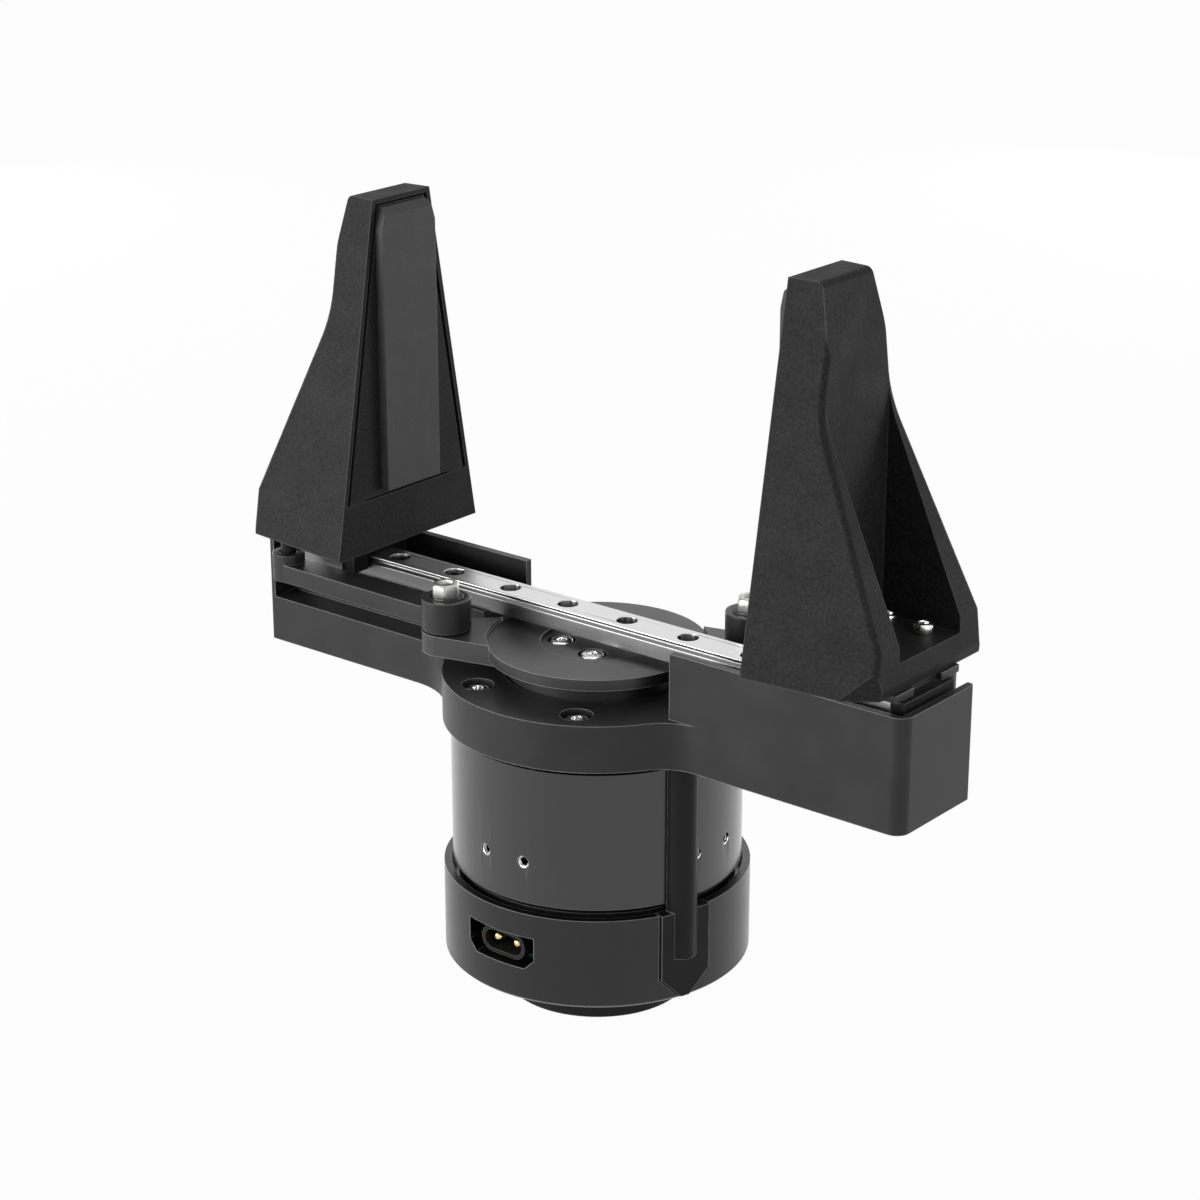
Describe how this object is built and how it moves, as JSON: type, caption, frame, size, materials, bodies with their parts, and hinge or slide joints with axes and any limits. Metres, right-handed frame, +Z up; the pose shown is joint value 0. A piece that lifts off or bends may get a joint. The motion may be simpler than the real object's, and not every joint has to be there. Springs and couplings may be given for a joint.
{
  "type": "electric two finger gripper",
  "caption": "Parallel gripper: a round geared motor turns a crank whose links slide two tapered fingers together along a linear rail.",
  "frame": {"origin": "centre of the mounting boss's foot, on the axis of the crank", "axes": "+Z up from the foot to the fingertips, +X along the rail, -Y to the side of the power socket"},
  "size_m": [0.1608, 0.062, 0.1564],
  "materials": {
    "anodised_aluminium": "fine satin black anodising",
    "finger_plastic": "fine grained matt black",
    "grip_rubber": "matt black",
    "rail_steel": "ground steel",
    "screw_steel": "bright plated steel",
    "bearing_steel": "polished steel",
    "core_steel": "oiled steel",
    "plain_aluminium": "turned",
    "magnet_plate": "nickel plate",
    "copper": "enamelled copper wire",
    "socket_plastic": "satin black",
    "gold_pins": "gold plate",
    "board": "solder mask"
  },
  "bodies": {
    "base": {"base_plate": "anodised_aluminium", "linear_rail": "rail_steel", "rail_screws": "screw_steel", "plate_screws": "screw_steel", "motor_housing": "anodised_aluminium", "driver_cup": "anodised_aluminium", "mounting_boss": "anodised_aluminium", "side_column": "anodised_aluminium", "power_socket": "socket_plastic", "socket_pins": "gold_pins", "driver_board": "board", "board_components": "socket_plastic", "board_spacers": "gold_pins", "rear_plate": "plain_aluminium", "middle_plate": "plain_aluminium", "stator_core": "core_steel", "stator_windings": "copper", "ring_gear": "core_steel", "shaft_bearings": "bearing_steel", "output_bearing_outer": "bearing_steel", "bearing_rollers": "bearing_steel"},
    "crank": {"crank": "anodised_aluminium", "crank_screws": "screw_steel", "output_flange": "anodised_aluminium", "planet_pins": "bearing_steel", "output_bearing_inner": "bearing_steel"},
    "rotor": {"rotor_hub": "core_steel", "rotor_magnets": "magnet_plate", "encoder_magnet": "magnet_plate", "sun_gear": "core_steel"},
    "planet_1": {"planet_gear_1": "core_steel"},
    "planet_2": {"planet_gear_2": "core_steel"},
    "planet_3": {"planet_gear_3": "core_steel"},
    "finger_left_body": {"carriage_block_left": "rail_steel", "carriage_end_caps_left": "socket_plastic", "carriage_plate_left": "anodised_aluminium", "finger_left": "finger_plastic", "finger_insert_left": "finger_plastic", "grip_pad_left": "grip_rubber", "finger_screws_left": "screw_steel", "link_pin_left": "bearing_steel"},
    "link_left_body": {"link_left": "anodised_aluminium", "link_bearing_left": "bearing_steel", "link_bolt_left": "screw_steel"},
    "finger_right_body": {"carriage_block_right": "rail_steel", "carriage_end_caps_right": "socket_plastic", "carriage_plate_right": "anodised_aluminium", "finger_right": "finger_plastic", "finger_insert_right": "finger_plastic", "grip_pad_right": "grip_rubber", "finger_screws_right": "screw_steel", "link_pin_right": "bearing_steel"},
    "link_right_body": {"link_right": "anodised_aluminium", "link_bearing_right": "bearing_steel", "link_bolt_right": "screw_steel"}
  },
  "joints": [
    {"name": "crank_turn", "type": "hinge", "parent": "base", "child": "crank", "pos_m": [0, 0, 0.0727], "axis": [0, 0, 1], "range_deg": [0, 103.97]},
    {"name": "rotor_spin", "type": "hinge", "parent": "base", "child": "rotor", "pos_m": [0, 0, 0.036], "axis": [0, 0, 1], "range_deg": [0, 500]},
    {"name": "finger_right_slide", "type": "slide", "parent": "base", "child": "finger_right_body", "axis": [-1, 0, 0], "range_m": [0, 0.0476]},
    {"name": "finger_left_slide", "type": "slide", "parent": "base", "child": "finger_left_body", "axis": [1, 0, 0], "range_m": [0, 0.0476]},
    {"name": "link_right_swing", "type": "hinge", "parent": "finger_right_body", "child": "link_right_body", "pos_m": [0.0694, 0.0157, 0.0775], "axis": [0, 0, 1], "range_deg": [-7.32, 0]},
    {"name": "link_left_swing", "type": "hinge", "parent": "finger_left_body", "child": "link_left_body", "pos_m": [-0.0694, -0.0157, 0.0775], "axis": [0, 0, 1], "range_deg": [-7.32, 0]},
    {"name": "planet_1_spin", "type": "hinge", "parent": "crank", "child": "planet_1", "pos_m": [0.0135, 0, 0.0495], "axis": [0, 0, 1], "range_deg": [-283, 0]},
    {"name": "planet_2_spin", "type": "hinge", "parent": "crank", "child": "planet_2", "pos_m": [-0.00675, 0.01169, 0.0495], "axis": [0, 0, 1], "range_deg": [-283, 0]},
    {"name": "planet_3_spin", "type": "hinge", "parent": "crank", "child": "planet_3", "pos_m": [-0.00675, -0.01169, 0.0495], "axis": [0, 0, 1], "range_deg": [-283, 0]}
  ],
  "couplings": [
    {"joint": "crank_turn", "follows": "finger_right_slide", "rad_per_m": 38.12},
    {"joint": "rotor_spin", "follows": "finger_right_slide", "rad_per_m": 182.98},
    {"joint": "finger_left_slide", "follows": "finger_right_slide", "ratio": 1},
    {"joint": "link_right_swing", "follows": "finger_right_slide", "rad_per_m": -2.6798},
    {"joint": "link_left_swing", "follows": "finger_right_slide", "rad_per_m": -2.6798},
    {"joint": "planet_1_spin", "follows": "finger_right_slide", "rad_per_m": -103.47},
    {"joint": "planet_2_spin", "follows": "finger_right_slide", "rad_per_m": -103.47},
    {"joint": "planet_3_spin", "follows": "finger_right_slide", "rad_per_m": -103.47}
  ]
}
